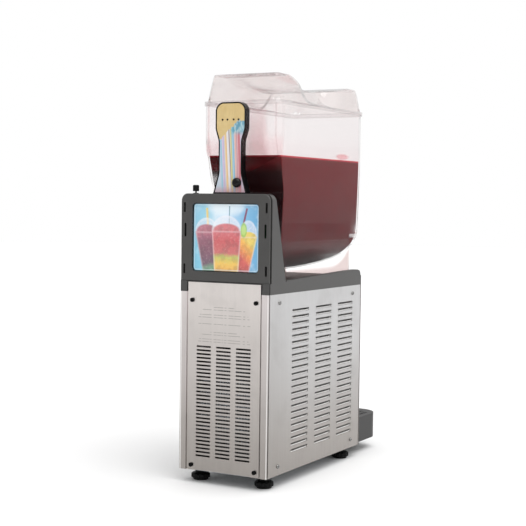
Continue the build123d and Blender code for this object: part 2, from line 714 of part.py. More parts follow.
def bowl_section(inset):
    """Cross section of the bowl's form: tapered sides and a round bottom."""
    low = 78.0 - inset
    sides = Polyline((-low, 495), (-82 + inset, 579), (-87 + inset, 690), (-87 + inset, BOWL_TOP + 1),
                     (87 - inset, BOWL_TOP + 1), (87 - inset, 690), (82 - inset, 579), (low, 495))
    bottom = ThreePointArc((low, 495), (0, 417 + inset), (-low, 495))
    return make_face([*sides.edges(), *bottom.edges()])


def bowl_form(inset, top):
    """The bowl's closed form up to a height, drawn in by an inset."""
    form = across_x(bowl_side(inset), -100, 100) & across_y(bowl_section(inset), -300, 300)
    corner = 16.0 - inset
    half = 87.0 - inset
    plan = outline([
        (-half, BOWL_FRONT + inset, corner), (half, BOWL_FRONT + inset, corner),
        (half, BOWL_REAR_TOP - inset, 12 - inset), (-half, BOWL_REAR_TOP - inset, 12 - inset)])
    form &= upright(plan, 400, BOWL_TOP + 5)
    return form & block(-100, 100, -300, 300, 400, top)


def bowl():
    """Clear bowl with a skirt that stands on the deck."""
    shell = bowl_form(0, BOWL_TOP)
    skirt_x = 79.0
    for x0 in (-skirt_x, skirt_x - 2.5):
        shell += block(x0, x0 + 2.5, -190, BOWL_REAR - 1, DECK_FLOOR + GAP, 516)
    shell += rod_y(0, TAP_Z, TAP_FACE, BOWL_FRONT + 12, 17)
    shell -= bowl_form(WALL, BOWL_TOP + 5)
    shell -= block(-84, 84, -225, 140, BOWL_TOP - 8, BOWL_TOP + 5)
    shell -= rod_y(0, AXIS_Z, 100, 130, 60)
    return shell - rod_y(0, TAP_Z, -260, -200, 6)


def bowl_gasket():
    """Rubber ring that seals the bowl's rear opening onto the drum."""
    ring = rod_y(0, AXIS_Z, BOWL_REAR - 8, BOWL_REAR + 1, 59.9)
    ring += rod_y(0, AXIS_Z, BOWL_REAR, BOWL_REAR + 1, 65)
    return ring - rod_y(0, AXIS_Z, 100, 130, DRUM_R + 0.02)


def slush():
    """Frozen drink in the bowl, with room for the auger to turn."""
    fill = bowl_form(WALL + GAP, SLUSH_TOP)
    fill -= rod_y(0, AXIS_Z, DRUM_FRONT - 4, 130, AUGER_R + 1.5)
    return fill - rod_y(0, AXIS_Z, DRUM_FRONT - 40, 0, AUGER_HOLE_R + 8)


def lid_form(inset):
    """Raised part of the lid: a high block at each end and a pinched waist between them."""
    low = Pos(0, -42, LID_RIM - 0.5) * RectangleRounded(170 - 2 * inset, 384 - 2 * inset, 22)
    mid = Pos(0, -42, 792) * RectangleRounded(158 - 2 * inset, 372 - 2 * inset, 24)
    high = Pos(0, -42, LID_TOP - inset) * RectangleRounded(138 - 2 * inset, 350 - 2 * inset, 24)
    form = loft([low, mid, high], ruled=True)
    top = make_face([
        *Polyline((200, LID_TOP - inset), (112, LID_TOP - inset)).edges(),
        *ThreePointArc((112, LID_TOP - inset), (-25, 790 - inset), (-165, 806 - inset)).edges(),
        *Polyline((-165, 806 - inset), (-260, 806 - inset), (-260, 900), (200, 900),
                  (200, LID_TOP - inset)).edges()])
    form -= across_x(top, -100, 100)
    return form


def lid_scoop(inset):
    """The hollow that pinches the lid's +X side."""
    wedge = across_y(outline([
        (34 - inset, 795, 0), (70 - inset, 762 - inset, 12), (120, 757.2 - inset, 0), (120, 840, 0),
        (34 - inset, 840, 0)]), -200, 150)
    ends = across_x(outline([
        (66 + inset, 750, 0), (108 + inset, 815, 0), (108 + inset, 850, 0), (-170 - inset, 850, 0),
        (-170 - inset, 815, 0), (-112 - inset, 750, 0)]), -130, 130)
    return wedge & ends


def lid():
    """Clear lift-off lid with a rim that hangs over the bowl's edge."""
    outer = lid_form(0) - both_sides(lid_scoop(0))
    inner = lid_form(2.2) - both_sides(lid_scoop(2.2))
    inner = inner + Pos(0, 0, -3) * inner
    rim_x = 89.6
    rim_front = -236.8
    rim_rear = 152.8
    rim = upright(outline([
        (-rim_x, rim_front, 18), (rim_x, rim_front, 18), (rim_x, rim_rear, 14),
        (-rim_x, rim_rear, 14)]), 748.5, LID_RIM)
    wall = 2.2
    rim -= upright(outline([
        (-rim_x + wall, rim_front + wall, 16), (rim_x - wall, rim_front + wall, 16),
        (rim_x - wall, rim_rear - wall, 12), (-rim_x + wall, rim_rear - wall, 12)]),
        740, LID_RIM - wall)
    return rim + outer - inner


# ---- Tap ----
def tap_body():
    """Tap casting: inlet flange, upright bore, spout and the ears for the lever pin."""
    body = rod_y(0, TAP_Z, TAP_FACE - 4, TAP_FACE, 17)
    body += rod_y(0, TAP_Z, TAP_Y, TAP_FACE, 12)
    body += rod_z(0, TAP_Y, 458, 540, 15)
    body = fillet(body.edges().group_by(Axis.Z)[-1], 2)
    for x0 in (-13, 9.6):
        body += across_x(outline([
            (TAP_Y, 530, 0), (TAP_Y, 538, 0), (PIN_Y + 8, 545, 6), (PIN_Y + 6, PIN_Z + 6, 6),
            (PIN_Y - 6, PIN_Z + 6, 6), (PIN_Y - 6, 542, 8), (TAP_Y - 12, 520, 0)]), x0, x0 + 3.4)
    body -= rod_z(0, TAP_Y, 450, 534, TAP_BORE_R)
    body -= rod_z(0, TAP_Y, 530, 545, 4.0)
    body -= rod_y(0, TAP_Z, TAP_Y, TAP_FACE + 1, 6)
    return body - rod_x(PIN_Y, PIN_Z, -20, 20, 2.0)


def tap_piston():
    """Piston with its rod and cross pin."""
    piston = rod_z(0, TAP_Y, PISTON_LOW, PISTON_HIGH, TAP_BORE_R - 0.05)
    for z in (487, 506):
        piston -= rod_z(0, TAP_Y, z, z + 2, 12) - rod_z(0, TAP_Y, z, z + 2, 7.5)
    piston += rod_z(0, TAP_Y, PISTON_HIGH, 558, 3.95)
    return piston + rod_x(TAP_Y, PIN_Z, -9.2, 9.2, 1.6)


def piston_seals():
    return [rod_z(0, TAP_Y, z + 0.05, z + 1.95, TAP_BORE_R - 0.03)
            - rod_z(0, TAP_Y, z, z + 2, 7.5) for z in (487, 506)]


def tap_spring():
    """Coil spring above the piston."""
    turns = Helix(pitch=3.5, height=20.0, radius=6.4)
    wire = sweep(Plane(turns @ 0, z_dir=turns % 0) * Circle(0.6), path=turns, is_frenet=True)
    return Pos(0, TAP_Y, PISTON_HIGH + 1.0) * wire


def tap_lever():
    """Pull handle whose forked arm lifts the piston."""
    arm = outline([
        (PIN_Y - 5, PIN_Z - 5.6, 4), (TAP_Y + 8, PIN_Z - 5.6, 4), (TAP_Y + 8, PIN_Z + 6, 4),
        (PIN_Y - 5, PIN_Z + 6, 4)])
    slot = outline([
        (TAP_Y - 7, PIN_Z - 3.2, 2), (TAP_Y + 5.5, PIN_Z - 3.2, 2), (TAP_Y + 5.5, PIN_Z + 3.4, 2),
        (TAP_Y - 7, PIN_Z + 3.4, 2)])
    lever = across_x(arm, -9, -5.5) - across_x(slot, -12, 0)
    lever += across_x(arm, 5.5, 9) - across_x(slot, 0, 12)
    lever += rod_x(PIN_Y, PIN_Z, -9, 9, 6)
    grip = across_x(outline([
        (PIN_Y - 6, PIN_Z, 0), (PIN_Y + 6, PIN_Z, 0), (PIN_Y + 4, 600, 0), (PIN_Y + 1, 628, 4),
        (PIN_Y - 9, 628, 4), (PIN_Y - 5, 600, 0)]), -13, 13)
    grip &= across_y(outline([
        (-7, PIN_Z - 1, 0), (7, PIN_Z - 1, 0), (13, 629, 9), (-13, 629, 9)]), -330, -260)
    return lever + grip - rod_x(PIN_Y, PIN_Z, -20, 20, 2.05)


def lever_pin():
    return rod_x(PIN_Y, PIN_Z, -14, 14, 2.0)


# ---- Drip tray ----
def tray_plan(inset):
    """Plan of the tray with rounded front corners, drawn in by an inset."""
    half = TRAY_HALF - inset
    corner = TRAY_CORNER - inset
    return outline([
        (-half, TRAY_REAR - inset, 0), (-half, TRAY_FRONT + inset, corner),
        (half, TRAY_FRONT + inset, corner), (half, TRAY_REAR - inset, 0)])


def tray_form(inset, low, high):
    """The tray's closed form, with a rounded lower front edge."""
    side = outline([
        (TRAY_REAR - inset, low, 0), (TRAY_REAR - inset, high, 0), (TRAY_FRONT + inset, high, 0),
        (TRAY_FRONT + inset, low, 16 - inset)])
    return upright(tray_plan(inset), low, high) & across_x(side, -TRAY_HALF, TRAY_HALF)


def drip_tray():
    """Pull-out tray with a ledge for the grid and two holes for the bracket's pins."""
    ledge = 2.0
    tray = tray_form(0, TRAY_BOTTOM, TRAY_TOP)
    tray -= tray_form(WALL + 2.5, TRAY_BOTTOM + WALL, TRAY_TOP + 20)
    tray -= upright(tray_plan(ledge), TRAY_TOP - GRID_T - 0.2, TRAY_TOP + 20)
    return tray - both_sides(rod_y(TRAY_PIN_X, TRAY_PIN_Z, -240, -200, 3.3))


def drip_grid():
    """Lift-out grid with rows of slots, shorter where the tray's corners are round."""
    pitch_x = 14.0
    pitch_y = 10.5
    full_rows = 9
    grid = upright(tray_plan(2.0 + GAP), TRAY_TOP - GRID_T, TRAY_TOP)
    slots = []
    for row in range(12):
        widest = 58 - 10 * (row - full_rows)
        for column in range(-5, 6):
            x = pitch_x * column
            if row < full_rows or abs(x) < widest:
                place = Pos(x, TRAY_REAR - 12 - pitch_y * row)
                slots.append(upright(place * SlotOverall(10.5, 5.5), 70, 90))
    return grid - slots


def tray_bracket():
    """Steel rail on the front panel with two pins that carry the tray."""
    rail = block(-64, 64, TRAY_REAR + GAP, -HALF_D, 52, 68)
    return rail + both_sides(rod_y(TRAY_PIN_X, TRAY_PIN_Z, -224, -HALF_D, 3.0))


# ---- Nodes ----
NODES = {
    "base_pan": base_pan,
    "corner_posts": corner_posts,
    "left_side_panel": left_side_panel,
    "rear_panel": rear_panel,
    "front_panel": front_panel,
    "side_panel_screws": side_panel_screws,
    "rear_panel_screws": rear_panel_screws,
    "front_panel_screws": front_panel_screws,
    "feet": feet,
    "foot_studs": foot_studs,
    "cable_gland": cable_gland,
    "compressor": compressor,
    "compressor_grommets": compressor_grommets,
    "terminal_box": terminal_box,
    "condenser": condenser,
    "fan_shroud": fan_shroud,
    "fan_motor": fan_motor,
    "fan_blade": fan_blade,
    "filter_drier": filter_drier,
    "refrigerant_pipes": refrigerant_pipes,
    "deck": deck,
    "head_housing": head_housing,
    "sign_bezel": sign_bezel,
    "sign_lens": sign_lens,
    "sign_print": sign_print,
    "sign_light_board": sign_light_board,
    "gearbox": gearbox,
    "gear_motor": gear_motor,
    "adjuster_bush": adjuster_bush,
    "adjuster_screw": adjuster_screw,
    "adjuster_knob": adjuster_knob,
    "paddle_body": paddle_body,
    "paddle_face": paddle_face,
    "control_board": control_board,
    "indicator_lamps": indicator_lamps,
    "selector_spindle": selector_spindle,
    "selector_knob": selector_knob,
    "drum_neck": drum_neck,
    "evaporator_drum": evaporator_drum,
    "evaporator_coil": evaporator_coil,
    "shaft_bushes": shaft_bushes,
    "shaft_seal": shaft_seal,
    "drive_shaft": drive_shaft,
    "auger": auger,
    "bowl": bowl,
    "bowl_gasket": bowl_gasket,
    "slush": slush,
    "lid": lid,
    "tap_body": tap_body,
    "tap_piston": tap_piston,
    "piston_seals": piston_seals,
    "tap_spring": tap_spring,
    "tap_lever": tap_lever,
    "lever_pin": lever_pin,
    "drip_tray": drip_tray,
    "drip_grid": drip_grid,
    "tray_bracket": tray_bracket,
}

os.makedirs("parts", exist_ok=True)
for node, build in NODES.items():
    save(node, build())
save("right_side_panel", mirror(left_side_panel(), about=Plane.YZ))
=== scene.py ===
"""Countertop slush dispenser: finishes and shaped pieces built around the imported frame."""
from math import cos, radians, sin

import bmesh
import bpy
from mathutils import Matrix, Vector, noise


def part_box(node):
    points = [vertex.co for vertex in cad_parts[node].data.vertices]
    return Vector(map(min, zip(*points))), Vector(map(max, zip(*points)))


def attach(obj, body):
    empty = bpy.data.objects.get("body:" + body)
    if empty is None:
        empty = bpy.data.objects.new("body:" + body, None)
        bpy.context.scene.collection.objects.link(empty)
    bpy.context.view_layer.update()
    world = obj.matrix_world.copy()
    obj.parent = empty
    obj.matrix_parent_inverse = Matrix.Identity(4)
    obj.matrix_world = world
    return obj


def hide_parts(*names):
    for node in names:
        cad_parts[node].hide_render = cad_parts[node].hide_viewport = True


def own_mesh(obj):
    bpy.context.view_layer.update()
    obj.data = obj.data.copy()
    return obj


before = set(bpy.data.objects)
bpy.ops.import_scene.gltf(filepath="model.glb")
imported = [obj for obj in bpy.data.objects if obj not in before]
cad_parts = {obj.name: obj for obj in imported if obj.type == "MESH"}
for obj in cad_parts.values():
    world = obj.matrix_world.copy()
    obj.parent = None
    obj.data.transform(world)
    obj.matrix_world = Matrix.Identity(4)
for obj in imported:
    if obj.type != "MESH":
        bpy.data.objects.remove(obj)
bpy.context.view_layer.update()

bl_info = {
    "name": "Slush Dispenser",
    "version": (1, 0, 0),
    "blender": (4, 5, 0),
    "location": "3D View > Sidebar > Slush",
    "description": "Finishes and pieces of a countertop slush dispenser with one clear bowl",
    "category": "Object",
}

MM = 0.001
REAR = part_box("corner_posts")[1].y      # rear face of the cabinet
DRINK_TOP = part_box("slush")[1].z
AXIS_Z = 0.497                          # height of the auger's axis
LID_RIM = 0.757                         # top of the lid's rim
LID_HALF = (87.0, 193.0)                # half width and half length of the lid's dome, in mm
SKIRT_X = 0.076                         # the bowl's skirt lies outside this
SKIRT_TOP = 0.5165                      # and below this


# ---- Colours and shader maths ----
def tint(code):
    """Linear colour with alpha from a six-digit screen colour."""
    parts = [(code >> shift & 255) / 255 for shift in (16, 8, 0)]
    linear = [p / 12.92 if p < 0.04045 else ((p + 0.055) / 1.055) ** 2.4 for p in parts]
    return (*linear, 1.0)


def opaque(colour):
    """A colour of three parts with full alpha."""
    return (*colour, 1.0)


def shaded(colour, factor):
    """A colour made darker or lighter, with full alpha."""
    return opaque(min(1.0, part * factor) for part in colour[:3])


class Signal:
    """A shader socket that takes part in Python arithmetic by adding Math nodes."""

    def __init__(self, graph, socket):
        self.graph = graph
        self.socket = socket

    def math(self, operation, *others):
        return self.graph.add("ShaderNodeMath", {"operation": operation},
                              dict(enumerate([self, *others])))

    def turned(self, operation, other):
        """The operation with the other value first."""
        return self.graph.add("ShaderNodeMath", {"operation": operation}, {0: other, 1: self})

    def __add__(self, other):
        return self.math("ADD", other)

    def __sub__(self, other):
        return self.math("SUBTRACT", other)

    def __mul__(self, other):
        return self.math("MULTIPLY", other)

    def __truediv__(self, other):
        return self.math("DIVIDE", other)

    def __pow__(self, other):
        return self.math("POWER", other)

    def __rsub__(self, other):
        return self.turned("SUBTRACT", other)

    def __rtruediv__(self, other):
        return self.turned("DIVIDE", other)

    __radd__ = __add__
    __rmul__ = __mul__

    def __abs__(self):
        return self.math("ABSOLUTE")

    def least(self, other):
        return self.math("MINIMUM", other)

    def most(self, other):
        return self.math("MAXIMUM", other)

    def rise(self, low, high, start=0.0, end=1.0):
        """Goes smoothly from start to end as the signal goes from low to high."""
        if low > high:
            low, high, start, end = high, low, end, start
        return self.graph.add(
            "ShaderNodeMapRange", {"interpolation_type": "SMOOTHSTEP"},
            {"Value": self, "From Min": low, "From Max": high, "To Min": start, "To Max": end})

    def band(self, low, high, soft):
        """One between low and high, zero outside, with soft edges."""
        return self.rise(low - soft, low + soft) * self.rise(high + soft, high - soft)


class Graph:
    """The node tree of one material, or of the world."""

    def __init__(self, name, owners=None, place="Object"):
        owners = bpy.data.materials if owners is None else owners
        self.material = owners.new(name)
        self.material.use_nodes = True
        self.tree = self.material.node_tree
        self.tree.nodes.clear()
        self.place = self.add("ShaderNodeTexCoord", out=place)

    def add(self, kind, settings=None, sockets=None, out=0):
        """Add a node, set it up, then give its sockets their values or links."""
        node = self.tree.nodes.new(kind)
        for key, value in (settings or {}).items():
            if key == "stops":
                self.set_stops(node.color_ramp, value)
            else:
                setattr(node, key, value)
        for key, value in (sockets or {}).items():
            if isinstance(value, Signal):
                self.tree.links.new(value.socket, node.inputs[key])
            else:
                node.inputs[key].default_value = value
        return Signal(self, node.outputs[out]) if node.outputs else None

    @staticmethod
    def set_stops(ramp, stops):
        while len(ramp.elements) < len(stops):
            ramp.elements.new(1.0)
        for element, (position, colour) in zip(ramp.elements, stops):
            element.position = position
            element.color = colour

    def axes(self, scale=1000.0):
        """Object X, Y and Z, in millimetres."""
        across = self.add("ShaderNodeSeparateXYZ", None, {0: self.place})
        return [Signal(self, output) * scale for output in across.socket.node.outputs]

    def grain(self, size, detail=2.0, stretch=None, roughness=0.5):
        """Noise whose lumps are about size millimetres across."""
        place = self.place
        if stretch:
            place = self.add("ShaderNodeMapping", None, {"Vector": place, "Scale": stretch})
        return self.add("ShaderNodeTexNoise", None, {
            "Vector": place, "Scale": 1 / (size * MM), "Detail": detail, "Roughness": roughness})

    def cells(self, size):
        """Distance from the nearest of scattered points about size millimetres apart."""
        return self.add("ShaderNodeTexVoronoi", {"feature": "F1"},
                        {"Vector": self.place, "Scale": 1 / (size * MM)}, "Distance")

    def mix(self, factor, first, second, blend="MIX"):
        """Blend two colours."""
        return self.add("ShaderNodeMix", {"data_type": "RGBA", "blend_type": blend},
                        {0: factor, 6: first, 7: second}, 2)

    def ramp(self, signal, stops):
        """Colours along a signal, from pairs of a position and a colour."""
        return self.add("ShaderNodeValToRGB", {"stops": stops}, {0: signal})

    def bump(self, height, millimetres):
        """Relief of a height signal, as deep as millimetres says."""
        return self.add("ShaderNodeBump", None, {
            "Height": height, "Distance": millimetres * MM, "Strength": 1.0})

    def principled(self, sockets):
        return self.add("ShaderNodeBsdfPrincipled", None, sockets)

    def output(self, shader):
        """Give the material its surface and return it."""
        self.add("ShaderNodeOutputMaterial", None, {"Surface": shader})
        return self.material

    def finish(self, sockets):
        return self.output(self.principled(sockets))


# ---- Finishes ----
def metal_finish(name, colour, roughness, stretch=(1, 1, 1), size=1.0, relief=0.004, spread=0.06):
    """Bare or plated metal with a directional grain, faint smudges and fine relief."""
    g = Graph(name)
    grain = g.grain(size, 3.0, stretch)
    smudge = g.grain(45.0, 3.0)
    dark, light = shaded(colour, 1 - spread * 2), shaded(colour, 1 + spread)
    return g.finish({
        "Base Color": g.mix(grain * 0.5 + smudge * 0.5, dark, light),
        "Metallic": 1.0,
        "Roughness": (roughness - 0.06) + grain * 0.08 + smudge.rise(0.45, 0.75) * 0.05,
        "Normal": g.bump(grain, relief),
    })


def panel_finish(name, settings, rules=False, upper=None):
    """Brushed sheet steel with painted shade, darker and warmer towards the floor and low at the
    rear, and a pale painted highlight inside the louvre slots.
    """
    g = Graph(name)
    x, y, z = g.axes()
    lines = g.grain(settings.grain, 3.0, (1, 1, 0.02))
    wide = g.grain(settings.grain * 14, 2.0, (1, 1, 0.05))
    smudge = g.grain(55.0, 4.0)
    # When given, upper is a lighter copy of the steel colour: painted light.
    steel = upper or opaque(settings.panel)
    # Painted shade: the steel turns darker and warmer towards the floor, from high above to low
    # below.
    low = g.mix(lines, tint(0x958F8A), tint(0xA29C97))
    high = g.mix(lines * 0.3, steel, tint(0xB9B7B5))
    base = g.mix(z.rise(20, 330) * 0.85 + wide * 0.15, low, high)
    base = g.mix(smudge.rise(0.5, 0.75) * 0.12, base, tint(0x94908C))
    if rules:
        base = g.mix(plain_rules(g, x, z) * 0.6, base, tint(0x6E6C6A))
    # Painted shade: darker low down towards the rear edge.
    base = g.mix(y.rise(120, 285) * z.rise(390, 280) * 0.3, base, tint(0x94908C))
    # Painted highlight: a pale, mostly matte band inside each louvre slot stands in for its lower
    # lip catching the light.
    painted_louvre_light = abs(x).rise(98.9, 98.3) * abs(x).rise(96.2, 98.0)
    return g.finish({
        "Base Color": g.mix(painted_louvre_light, base, tint(0xF2F1EF)),
        "Metallic": 1.0 - painted_louvre_light * 0.8,
        "Roughness": (settings.roughness - 0.05) + lines * 0.06 + smudge.rise(0.45, 0.7) * 0.06,
        "Normal": g.bump(lines, 0.003),
    })


def plain_rules(g, x, z):
    """Mask of plain broken rules across the upper part of the rear panel."""
    broken = g.grain(5.0, 1.0, (1, 1, 0.01)).rise(0.42, 0.46)
    line, soft = 0.5, 0.35
    rules = None
    for height, half in ((351, 24), (346, 48), (336, 55), (331, 58), (318, 60), (302, 30),
                         (297, 52), (288, 56), (283, 60)):
        rule = z.band(height - line, height + line, soft) * abs(x).rise(half + 1, half - 1)
        rules = rule if rules is None else rules + rule
    return rules * broken


def moulded_finish(name, colour, roughness, size=0.7, relief=0.03, spread=0.12, lacquer=0.0,
                   specular=0.5):
    """Moulded plastic or rubber with a fine grain and slight wear in its shine."""
    g = Graph(name)
    grain = g.grain(size, 2.0)
    cloud = g.grain(30.0, 3.0)
    dust = g.grain(1.6, 4.0, roughness=0.7).rise(0.62, 0.8) * cloud.rise(0.4, 0.7)
    base = g.mix(cloud, shaded(colour, 1 - spread), shaded(colour, 1 + spread))
    return g.finish({
        "Base Color": g.mix(dust * 0.06, base, tint(0xB8B4AE)),
        "Roughness": (roughness - 0.04) + grain * 0.05 + cloud * 0.05,
        "Specular IOR Level": specular,
        "Coat Weight": lacquer,
        "Coat Roughness": 0.08,
        "Normal": g.bump(grain, relief),
    })


def turning_away(g):
    """Zero where a surface is seen face on, one along its outline."""
    return g.add("ShaderNodeLayerWeight", None, {"Blend": 0.5}, "Facing")


def reflection(turned, face_on=0.04):
    """Share of light that a clear surface reflects, the same from both of its sides."""
    return turned ** 5 * (1 - face_on) + face_on


def clear_finish(name, colour, settings, film=None, shine=1.0, haze=1.0, edge=1.0, through=None,
                 where=None):
    """Clear plastic: see-through face on, greyer along the edges, with hairline scratches.

    The haze, the edge and the shine are set for one piece by their multipliers. Light that
    passes takes the through tint, only inside the mask that where gives. A film's mask adds
    drink on the wall, and the painted streaks that it holds, and dulls the shine below the
    drink's top.
    """
    g = Graph(name)
    turned = turning_away(g)
    mirror = reflection(turned)
    scratch = g.grain(0.5, 2.0, (1, 1, 0.05)).rise(0.66, 0.8) * g.grain(25.0, 2.0).rise(0.4, 0.7)
    cloud = g.grain(60.0, 2.0)
    cover = cloud * (settings.haze * haze) + scratch * 0.02
    cover = cover + turned.rise(0.7, 1.0) * (settings.edge * edge)
    body = g.mix(cloud, colour, tint(0xF4F6F7))
    if film:
        film_and_painted_streaks = film(g)
        body = g.mix(film_and_painted_streaks.least(1.0), body, opaque(settings.film_colour))
        cover = cover + film_and_painted_streaks * settings.film
    solid = g.principled({
        "Base Color": body,
        "Roughness": 0.2 + cloud * 0.05,
        "Specular IOR Level": 0.2,
        "Normal": g.bump(g.grain(38.0, 1.0), 0.02),
    })
    gloss = g.add("ShaderNodeBsdfGlossy", None, {"Roughness": 0.03})
    untinted = opaque(settings.through)
    clear = g.add("ShaderNodeBsdfTransparent", None, {"Color": through or untinted})
    if where:
        plain = g.add("ShaderNodeBsdfTransparent", None, {"Color": untinted})
        clear = g.add("ShaderNodeMixShader", None, {0: where(g), 1: plain, 2: clear})
    coated = g.add("ShaderNodeMixShader", None, {0: cover.least(1.0), 1: clear, 2: solid})
    if film:
        top, soft, wet_shine = DRINK_TOP / MM, 4, 0.42
        mirror = mirror * g.axes()[2].rise(top - soft, top + soft, wet_shine, 1.0)
    return g.output(g.add("ShaderNodeMixShader", None, {0: mirror * shine, 1: coated, 2: gloss}))


def lens_finish(name):
    """Flat clear window over the printed sheet."""
    g = Graph(name)
    mirror = reflection(turning_away(g))
    smear = g.grain(20.0, 3.0).rise(0.5, 0.8)
    gloss = g.add("ShaderNodeBsdfGlossy", None, {"Roughness": 0.05 + smear * 0.03})
    through = g.add("ShaderNodeBsdfTransparent", None, {"Color": (0.97, 0.98, 0.98, 1)})
    return g.output(g.add("ShaderNodeMixShader", None, {
        0: mirror * 0.5 + smear * 0.01, 1: through, 2: gloss}))


# ---- Printed pictures ----
def stroke(x, z, top, foot, width):
    """Mask of a straight bar between two points of the picture."""
    slope = (top[0] - foot[0]) / (top[1] - foot[1])
    middle = (z - foot[1]) * slope + foot[0]
    across = abs(x - middle).rise(width / 2 + 0.35, width / 2 - 0.35)
    return across * z.band(foot[1], top[1], 0.5)


def oval(x, z, middle, wide, high):
    """Squared distance from the middle of an oval, one on its edge."""
    across = (x - middle[0]) / wide
    up = (z - middle[1]) / high
    return across * across + up * up


def cup_masks(x, z, rim, foot, mound, dome):
    """Masks of a tapered cup, its heaped filling, its domed cover and its clear wall."""
    rise = (z - foot[1]) / (rim[1] - foot[1])
    middle = rise * (rim[0] - foot[0]) + foot[0]
    half = rise * (rim[2] - foot[2]) + foot[2]
    side = abs(x - middle) - half
    above = z.rise(rim[1] - 0.5, rim[1] + 0.5)
    cup = side.rise(1.4, -1.4) * (1 - above)
    heap = oval(x, z, rim, rim[2] - 2.5, mound).rise(1.25, 0.75) * above
    edge = oval(x, z, rim, rim[2], dome)
    cover = edge.rise(1.1, 0.85) * above
    wall = cup * side.rise(-4.5, 0.5) + cover * edge.rise(0.55, 1.0)
    return cup, heap, cover, wall


def sign_picture(settings):
    """Backlit picture of three iced drinks under a pale sky."""
    g = Graph("sign_picture")
    x, _, z = g.axes()
    cloud = g.grain(28.0, 3.0)
    ice = g.grain(4.5, 4.0, roughness=0.62)
    blur = g.grain(14.0, 2.0)
    sky = g.ramp((x + 75) / 150 + (cloud - 0.5) * 0.3, [
        (0.0, opaque(settings.sky_right)), (0.22, tint(0x78B4DA)), (0.45, tint(0xBFD8EE)),
        (0.62, tint(0xCFE2EE)), (0.8, tint(0x7FC4DC)), (1.0, opaque(settings.sky_left))])
    puff = oval(x, z, (0, 548), 46, 22).rise(1.2, 0.2) * 0.7 + cloud.rise(0.52, 0.7) * 0.3
    picture = g.mix(puff.least(1.0), sky, tint(0xEDF3F8))
    # each drink: rim and foot as x, z and half width; mound; dome; colours; straw; slant
    drinks = (
        ((44, 499, 26), (37, 420, 15), 14, 27, [
            (0.0, tint(0x4F8A62)), (0.12, tint(0x74987A)), (0.22, tint(0x6A4458)),
            (0.6, tint(0x7E3A52)), (0.9, tint(0x96405A)), (1.0, tint(0xB04F62))],
         ((43.5, 545), (40.5, 505), 5.0, 0xE8C754), 0.003),
        ((-50, 491, 20), (-38, 420, 14), 9, 31, [
            (0.0, tint(0xB8382E)), (0.35, tint(0xD24A3C)), (0.5, tint(0xE07434)),
            (0.68, tint(0xEE9A34)), (0.85, tint(0xF0B23E)), (1.0, tint(0xE6C856))],
         ((-47, 545), (-37, 505), 4.4, 0x7E2F5C), -0.012),
        ((-1, 501, 33), (-1.5, 420, 27), 14, 30, [
            (0.0, tint(0xEBA83A)), (0.22, tint(0xE9BC40)), (0.36, tint(0xC2BE50)),
            (0.46, tint(0xC8605A)), (0.75, tint(0xC9484A)), (1.0, tint(0xD2656A))],
         ((-8, 549), (-7.2, 512), 2.2, 0x5E8EA0), 0.0),
    )
    for rim, foot, mound, dome, stops, (top, low, width, straw), slant in drinks:
        cup, heap, cover, wall = cup_masks(x, z, rim, foot, mound, dome)
        picture = g.mix(stroke(x, z, top, low, width), picture, tint(straw))
        level = (z - foot[1]) / (rim[1] - foot[1]) + (ice - 0.5) * 0.16
        level = level + (x - foot[0]) * slant + (blur - 0.5) * 0.12
        drink = g.ramp(level, stops)
        drink = g.mix(ice.rise(0.5, 0.8) * 0.25, drink, tint(0xFBE9E0))
        drink = g.mix(blur.rise(0.55, 0.35) * 0.2, drink, tint(0x301018))
        veil = cover * (0.42 + ice.rise(0.45, 0.7) * 0.3)
        picture = g.mix(veil, picture, tint(0xF1E9EE))
        picture = g.mix((cup + heap).least(1.0), picture, drink)
        picture = g.mix(wall.least(1.0) * 0.4, picture, tint(0xEFF0F6))
        line = cup * z.band(rim[1] - 3.0, rim[1], 2.0)
        picture = g.mix(line * 0.3, picture, tint(0xF8E6EA))
    lime = oval(x, z, (-40, 503), 7, 14)
    picture = g.mix(lime.rise(1.3, 0.7) * 0.9, picture, tint(0x94C24A))
    picture = g.mix(lime.rise(0.7, 0.3) * 0.5, picture, tint(0xD3E488))
    sheen = (z + x * 0.5).rise(480, 580) * 0.15
    picture = g.mix(sheen + 0.08, picture, tint(0xDDE6EE))
    middle_z, flat_x, flat_z = 487.5, 67, 59
    past_x = (abs(x) - flat_x).most(0.0)
    past_z = (abs(z - middle_z) - flat_z).most(0.0)
    past = (past_x * past_x + past_z * past_z) ** 0.5
    picture = g.mix(past.band(3.4, 5.2, 0.6) * 0.5, picture, tint(0xE6F4FA))
    picture = g.mix(past.rise(5.6, 6.6), picture, tint(0x14181C))
    return g.finish({
        "Base Color": picture,
        "Roughness": 0.4,
        "Emission Color": picture,
        "Emission Strength": settings.glow,
        "Normal": g.bump(ice, 0.01),
    })


